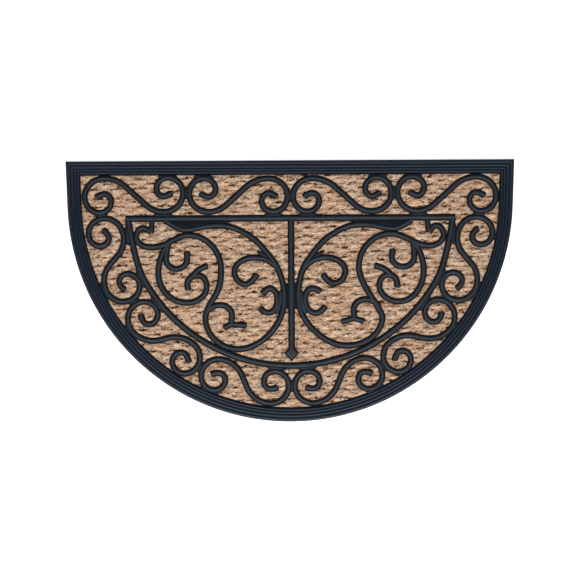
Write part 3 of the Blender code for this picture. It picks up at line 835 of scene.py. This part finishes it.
cell_x, cell_y = np.meshgrid(plan_corner[0] + CELL * np.arange(plan_shape[1]),
                             plan_corner[1] + CELL * np.arange(plan_shape[0]))
clearance = np.minimum(bar_clearance(), border_clearance(cell_x, cell_y))
sway = LAY_SWAY * soft_noise(*SWAY_NOISE) - LAY_SLOPE * cell_x
lay_y = plan_corner[1] + (cell_y + sway - plan_corner[1]) % (plan_shape[0] * CELL)
float_places = cell_x + FLOAT_LEAN[0] * cell_y + FLOAT_DRIFT * soft_noise(*FLOAT_NOISE)
row_places = FLOAT_LEAN[1] * cell_x - cell_y + ROW_DRIFT * soft_noise(*ROW_NOISE)
along_floats = 2 * math.pi * float_places / FLOAT_REPEAT[0]
down_rows = 2 * math.pi * row_places / FLOAT_REPEAT[1]
weave = -FLOAT_WEIGHT * (np.cos(along_floats + FLOAT_PHASE) * np.cos(down_rows + ROW_PHASE))
for weight, waves, phase in ROW_WAVES:
    weave = weave - weight * np.cos(waves * down_rows + phase)
tufts, clumps, dashes = [field_at(soft_noise(*noise), cell_x, lay_y)
                         for noise in (TUFT_NOISE, CLUMP_NOISE, DASH_NOISE)]
open_weave = dashes + WEAVE_GAPS * weave + CLUMP_GAPS * clumps
gaps = smooth((open_weave - GAP_START) / GAP_SOFTNESS)
pile = smooth(clearance / PILE_RISE)
rough_pile = smooth(clearance / ROUGH_RISE)
roughness = TUFT_HEIGHT * tufts + CLUMP_HEIGHT * clumps - GAP_DEPTH * gaps
height = PRESSED_TOP + pile * (PILE_TOP - PRESSED_TOP) + rough_pile * roughness
ceiling = np.where(clearance < BAR_MARGIN, PRESSED_TOP, HIGHEST_PILE)
height = np.minimum(np.maximum(height, LOWEST_PILE), ceiling)
shaded = 1 - smooth(clearance / SHADE_REACH)
tone = TONE + TUFT_TONE * tufts + CLUMP_TONE * clumps - WEAVE_TONE * weave - SHADE_TONE * shaded
tone = np.clip(tone, 0, 1)
blush = np.clip(BLUSH + BLUSH_SPREAD * soft_noise(*BLUSH_NOISE) - SHADE_BLUSH * shaded, 0, 1)


def panel_half_width(y, inset):
    """Half width of the outline at a height y: a flared line at the sides and a circle below."""
    radius = ARC_RADIUS - inset
    line = (radius + (y - ARC_Y) * math.sin(SIDE_FLARE)) / math.cos(SIDE_FLARE)
    circle = np.sqrt(np.maximum(radius ** 2 - (y - ARC_Y) ** 2, LEAST_SQUARE))
    return np.where(y - ARC_Y > -radius * math.sin(SIDE_FLARE), line, circle)


def coir_surface():
    """The panel: rows across the outline at the pile's height, a skirt down to its foot, and a base."""
    y = np.linspace(ARC_Y - ARC_RADIUS + COIR_INSET + EDGE_TRIM, BACK_Y - COIR_INSET, ROWS)[:, None]
    x = np.linspace(-1, 1, COLUMNS) * panel_half_width(y, COIR_INSET)
    y = y + 0 * x
    z = field_at(height, x, y)
    index = np.arange(ROWS * COLUMNS).reshape(ROWS, COLUMNS)
    quads = np.stack([index[:-1, :-1], index[:-1, 1:], index[1:, 1:], index[1:, :-1]], axis=-1)
    loop = np.concatenate([index[0, :-1], index[:-1, -1], index[-1, :0:-1], index[:0:-1, 0]])
    points = np.stack([x, y, z], axis=2).reshape(-1, 3)
    foot = points[loop] * (1, 1, 0) + (0, 0, coir_low)
    under = len(points) + np.arange(len(loop))
    skirt = np.stack([loop, under, np.roll(under, -1), np.roll(loop, -1)], axis=-1)
    faces = np.concatenate([quads.reshape(-1, 4), skirt]).tolist() + [under[::-1].tolist()]
    return np.concatenate([points, foot]), faces


def coir_colour_group():
    """Colour of coir: a ramp from near black brown, used for dark fibres and the painted shade in the gaps,
    to pale straw by the tone, warmed to tan by the blush.
    """
    group, inputs, outputs = shader_group(
        "bleached_coir",
        (("Vector", "Vector"), ("Tone", "Float"), ("Blush", "Float")),
        (("Colour", "Color"),),
    )
    nodes, links = group.nodes, group.links
    mottle = soft_spots(group, inputs.outputs["Vector"], scale=260.0, detail=3.0)
    stir = nodes.new("ShaderNodeMath")
    links.new(stretched(group, mottle, low=-0.12, high=0.12), stir.inputs[0])
    links.new(inputs.outputs["Tone"], stir.inputs[1])
    ramp = nodes.new("ShaderNodeValToRGB")
    stops = ramp.color_ramp.elements
    stops[0].position = 0.0
    stops[0].color = (0.016, 0.008, 0.006, 1.0)
    stops[1].position = 1.0
    stops[1].color = (0.94, 0.81, 0.67, 1.0)
    for position, colour in (
        (0.20, (0.098, 0.042, 0.018)),
        (0.38, (0.300, 0.180, 0.106)),
        (0.55, (0.515, 0.365, 0.252)),
        (0.78, (0.740, 0.574, 0.430)),
    ):
        stops.new(position).color = (*colour, 1.0)
    links.new(stir.outputs[0], ramp.inputs["Fac"])
    warm = nodes.new("ShaderNodeMix")
    warm.data_type = "RGBA"
    warm.blend_type = "MULTIPLY"
    warm.inputs["B"].default_value = (1.0, 0.89, 0.82, 1.0)
    links.new(inputs.outputs["Blush"], warm.inputs["Factor"])
    links.new(ramp.outputs["Color"], warm.inputs["A"])
    links.new(warm.outputs["Result"], outputs.inputs["Colour"])
    return group


coir_colour = coir_colour_group()


def coir_material(name, grain_depth):
    """Dry matt coir that reads the tone and blush of the mesh, with a fine grain along the mat."""
    material = bpy.data.materials.new(name)
    material.use_nodes = True
    nodes, links = material.node_tree.nodes, material.node_tree.links
    shader = nodes["Principled BSDF"]
    shader.inputs["Roughness"].default_value = 0.92
    shader.inputs["Specular IOR Level"].default_value = 0.1
    place = nodes.new("ShaderNodeTexCoord")
    colour = nodes.new("ShaderNodeGroup")
    colour.node_tree = coir_colour
    links.new(place.outputs["Object"], colour.inputs["Vector"])
    for field, socket in (("tone", "Tone"), ("blush", "Blush")):
        reader = nodes.new("ShaderNodeAttribute")
        reader.attribute_name = field
        links.new(reader.outputs["Fac"], colour.inputs[socket])
    links.new(colour.outputs["Colour"], shader.inputs["Base Color"])
    grain = nodes.new("ShaderNodeMapping")
    grain.inputs["Scale"].default_value = (180.0, 1500.0, 900.0)
    links.new(place.outputs["Object"], grain.inputs["Vector"])
    fibres = soft_spots(material.node_tree, grain.outputs["Vector"], scale=1.0)
    bump = relief(material.node_tree, fibres, strength=0.8, distance=grain_depth * MM)
    links.new(bump.outputs["Normal"], shader.inputs["Normal"])
    return material


def write_fields(mesh, **fields):
    """Store a value for each point of a mesh under each name."""
    for name, values in fields.items():
        layer = mesh.attributes.new(name, "FLOAT", "POINT")
        layer.data.foreach_set("value", values.astype(np.float32))


pile_body = coir_surface()
pile_material = coir_material("coir_pile", grain_depth=0.5)
panel = piece_of("coir_pile", [pile_body], pile_material, sharp=60.0)
pile_x, pile_y = pile_body[0][:, :2].T
# The pile is darker than the strands on it, and darker still in the gaps of the weave, where the dark is
# painted shade
pile_tone = field_at(tone - PILE_DARKER - GAPS_DARKER * gaps, pile_x, pile_y)
write_fields(panel.data, tone=np.clip(pile_tone, 0, 1), blush=field_at(blush, pile_x, pile_y))
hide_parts("coir_panel")


# Coir tufts and loose fibres
# Flat strands of many fibres cover the pile like short shingles along the mat, and single fibres lie
# across them. Each is a thin three-sided rod, bowed sideways. The pale ones keep clear of the gaps, and
# short dark ones fill them: partly dark fibres, and partly painted shade laid in the gaps.
# Columns: how many, shortest and longest, thinnest and thickest, spread of heading, lift, shade and its
# spread, whether it fills the gaps, seed
STRAND_SETS = (
    ("coir_tufts_1", 9600, (2.6, 7.0), (0.38, 0.66), 0.13, 0.20, (0.06, 0.20), False, 41),
    ("coir_tufts_2", 9600, (1.8, 4.8), (0.38, 0.64), 0.18, 0.40, (0.06, 0.30), False, 42),
    ("coir_fibres", 8400, (3.5, 11.0), (0.20, 0.34), 0.20, 0.60, (0.08, 0.28), False, 43),
    ("coir_dark_fibres_and_gap_shade", 6200, (1.2, 3.4), (0.50, 0.92), 0.18, 0.90, (-0.57, 0.07), True, 44),
)
ROD_STEPS = np.array([-0.5, -0.2, 0.2, 0.5])
CORNER_ANGLES = np.radians([90.0, 210.0, 330.0])
CORNERS = len(CORNER_ANGLES)
ROD_FLATNESS = 0.8
BOW_SPREAD = 0.05
LIFT_SPREAD = 0.25
REST_LIFT = 0.1
TIP_COVER = 4.0
UNDER_BAR = 0.8
UNDER_DROP = 0.9
TRIES = 5
GAP_TRIES = 24
# How open the weave has to be for a dark rod, middle and spread, and how closed for a pale one
GAP_CHOICE = (1.35, 0.35)
PALE_CHOICE = (0.1, 0.9)
DARKEST = 0.05
FLUSH_SPREAD = 0.12
MAP_MARGIN = 0.15
MAP_SPAN = 0.7


def laid_strands(rng, count, lengths, headings, in_gaps):
    """Middle lines of strands laid anywhere on the panel that miss the bars, and miss or fill the gaps.

    A line is a straight run along the lay plus a sideways parabola. Returns x and y of each step.
    """
    tries = (GAP_TRIES if in_gaps else TRIES) * count
    x = rng.uniform(-tray_high[0], tray_high[0], tries)[:, None]
    y = rng.uniform(-BACK_Y, BACK_Y, tries)[:, None]
    length = rng.uniform(*lengths, tries)[:, None]
    heading = rng.normal(0, headings, tries)[:, None] - np.arctan(field_at(lay_slope, x, y))
    aside = length * rng.normal(0, BOW_SPREAD, tries)[:, None] * (1 - 4 * ROD_STEPS ** 2)
    px = x + length * ROD_STEPS * np.cos(heading) - aside * np.sin(heading)
    py = y + length * ROD_STEPS * np.sin(heading) + aside * np.cos(heading)
    room = field_at(clearance, px, py)
    free = (room[:, 1:3].min(axis=1) > BAR_MARGIN) & (room.min(axis=1) > -TIP_COVER)
    if in_gaps:
        kept = free & (field_at(open_weave, px, py).mean(axis=1) > rng.normal(*GAP_CHOICE, tries))
    else:
        kept = free & (field_at(gaps, px, py).mean(axis=1) < rng.uniform(*PALE_CHOICE, tries))
    return px[kept][:count], py[kept][:count]


def strand_rods(rng, px, py, radii, lift):
    """Rings of all rods at once, as an array of rods by steps by three corners.

    The height is the pile's plus an arch, the rod narrows at its ends, and under a bar it stays low.
    """
    count = len(px)
    arch = 1 - 4 * ROD_STEPS ** 2
    raised = np.abs(rng.normal(lift, LIFT_SPREAD, count))[:, None]
    thick = rng.uniform(*radii, count)[:, None] * (0.5 + 0.5 * arch)
    pz = field_at(height, px, py) + REST_LIFT + raised * arch
    under = field_at(clearance, px, py) < UNDER_BAR
    pz = np.where(under, np.minimum(pz, BAR_BOTTOM - UNDER_DROP), pz)
    way = np.arctan2(py[:, 3] - py[:, 0], px[:, 3] - px[:, 0])[:, None, None]
    flat = thick[:, :, None] * np.cos(CORNER_ANGLES)
    up = ROD_FLATNESS * thick[:, :, None] * np.sin(CORNER_ANGLES)
    return np.stack([px[:, :, None] - np.sin(way) * flat, py[:, :, None] + np.cos(way) * flat,
                     pz[:, :, None] + up], axis=3)


def rod_faces(count):
    """Faces of all rods: three sides for each step, and a triangle at each end."""
    base = np.arange(count)[:, None, None] * len(ROD_STEPS) * CORNERS
    ring = base + np.arange(len(ROD_STEPS) - 1)[:, None] * CORNERS
    corner = np.arange(CORNERS)
    after = (corner + 1) % CORNERS
    above = ring + CORNERS
    sides = np.stack([ring + corner, ring + after, above + after, above + corner], axis=-1)
    starts = base[:, 0] + corner[::-1]
    ends = base[:, 0] + (len(ROD_STEPS) - 1) * CORNERS + corner
    return sides.reshape(-1, 4).tolist() + starts.tolist() + ends.tolist()


def rod_map(mesh, count):
    """A map that gives each rod a square cell of its own, its length across and its sides up."""
    side = math.ceil(math.sqrt(count))
    rod = np.arange(count)[:, None, None]
    across = (rod % side + MAP_MARGIN + MAP_SPAN * (ROD_STEPS[:, None] + 0.5)) / side
    up = (rod // side + MAP_MARGIN + MAP_SPAN / 2 * np.arange(CORNERS)) / side
    places = np.stack(np.broadcast_arrays(across, up), axis=-1).reshape(-1, 2)
    corners = np.empty(len(mesh.loops), dtype=np.int32)
    mesh.loops.foreach_get("vertex_index", corners)
    mesh.uv_layers.new(name="OFBake").uv.foreach_set("vector", places[corners].astype(np.float32).ravel())


lay_slope = np.gradient(sway, CELL, axis=1)
strand_material = coir_material("coir_strand", grain_depth=0.15)
for name, count, lengths, radii, headings, lift, shades, in_gaps, seed in STRAND_SETS:
    rng = np.random.default_rng(seed)
    px, py = laid_strands(rng, count, lengths, headings, in_gaps)
    rods = strand_rods(rng, px, py, radii, lift)
    bodies = [(rods.reshape(-1, 3), rod_faces(len(px)))]
    strands = piece_of(name, bodies, strand_material, sharp=80.0)
    middle_x, middle_y = px.mean(axis=1), py.mean(axis=1)
    shade = field_at(tone, middle_x, middle_y) + rng.normal(*shades, len(px))
    flush = field_at(blush, middle_x, middle_y) + rng.normal(0.0, FLUSH_SPREAD, len(px))
    write_fields(strands.data, tone=np.repeat(np.clip(shade, DARKEST, 1), CORNERS * len(ROD_STEPS)),
                 blush=np.repeat(np.clip(flush, 0, 1), CORNERS * len(ROD_STEPS)))
    rod_map(strands.data, len(px))
    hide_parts("coir_panel")


# Studio
# A plain pale floor, one broad soft light straight above and a weak one behind that leave no glare, and a
# long softbox high in front that draws a sheen along each bar and rib. The camera looks straight down.
PICTURE = 580
PIXEL = 1.6965
MAT_CENTRE_PIXEL = (290.6, 290.95)
ROLL = math.radians(0.31)
LENS_LENGTH = 100.0
SENSOR = 36.0
# Level at which a pixel has that size
PIXEL_LEVEL = 5.0
# In metres
FLOOR_REACH = 25.0
# A hair below the mat's underside, so that the two faces don't coincide
FLOOR_LEVEL = -0.1

floor_mesh = bpy.data.meshes.new("floor")
floor_mesh.from_pydata([(x * FLOOR_REACH, y * FLOOR_REACH, FLOOR_LEVEL * MM)
                        for x, y in ((-1, -1), (1, -1), (1, 1), (-1, 1))], [], [(0, 1, 2, 3)])
floor = bpy.data.objects.new("floor", floor_mesh)
bpy.context.scene.collection.objects.link(floor)
floor_paint = bpy.data.materials.new("floor_paint")
floor_paint.use_nodes = True
floor_shader = floor_paint.node_tree.nodes["Principled BSDF"]
floor_shader.inputs["Base Color"].default_value = (0.92, 0.92, 0.92, 1.0)
floor_shader.inputs["Roughness"].default_value = 0.9
floor_shader.inputs["Emission Color"].default_value = (1.0, 1.0, 1.0, 1.0)
floor_shader.inputs["Emission Strength"].default_value = 0.6
floor_mesh.materials.append(floor_paint)


def softbox(name, place, size, power, glare):
    """A rectangular area light at a place in metres, turned about the X axis to face the mat's middle."""
    lamp = bpy.data.lights.new(name, "AREA")
    lamp.shape = "RECTANGLE"
    lamp.size, lamp.size_y = size
    lamp.energy = power
    holder = bpy.data.objects.new(name, lamp)
    holder.location = place
    holder.rotation_euler = (-math.atan2(place[1], place[2]), 0.0, 0.0)
    holder.visible_glossy = glare
    bpy.context.scene.collection.objects.link(holder)


softbox("overhead", place=(0.0, 0.0, 3.5), size=(3.0, 3.0), power=44.0, glare=False)
softbox("front", place=(0.0, -1.6, 2.5), size=(3.0, 1.0), power=96.0, glare=True)
softbox("back", place=(0.0, 2.4, 2.0), size=(3.0, 1.0), power=17.0, glare=False)
world = bpy.data.worlds.new("surround")
world.use_nodes = True
surround = world.node_tree.nodes["Background"]
surround.inputs["Color"].default_value = (0.85, 0.93, 1.0, 1.0)
surround.inputs["Strength"].default_value = 0.08
bpy.context.scene.world = world
bpy.context.scene.view_settings.view_transform = "Standard"

camera_data = bpy.data.cameras.new("camera")
camera_data.lens = LENS_LENGTH
camera_data.sensor_width = SENSOR
camera_data.clip_end = 60.0
camera = bpy.data.objects.new("camera", camera_data)
right_of_mat = (PICTURE / 2 - MAT_CENTRE_PIXEL[0]) * PIXEL
above_mat = (MAT_CENTRE_PIXEL[1] - PICTURE / 2) * PIXEL
distance = PICTURE * PIXEL * LENS_LENGTH / SENSOR
camera.location = (
    (right_of_mat * math.cos(ROLL) + above_mat * math.sin(ROLL)) * MM,
    (above_mat * math.cos(ROLL) - right_of_mat * math.sin(ROLL)) * MM,
    (distance + PIXEL_LEVEL) * MM,
)
camera.rotation_euler = (0.0, 0.0, -ROLL)
bpy.context.scene.collection.objects.link(camera)
bpy.context.scene.camera = camera
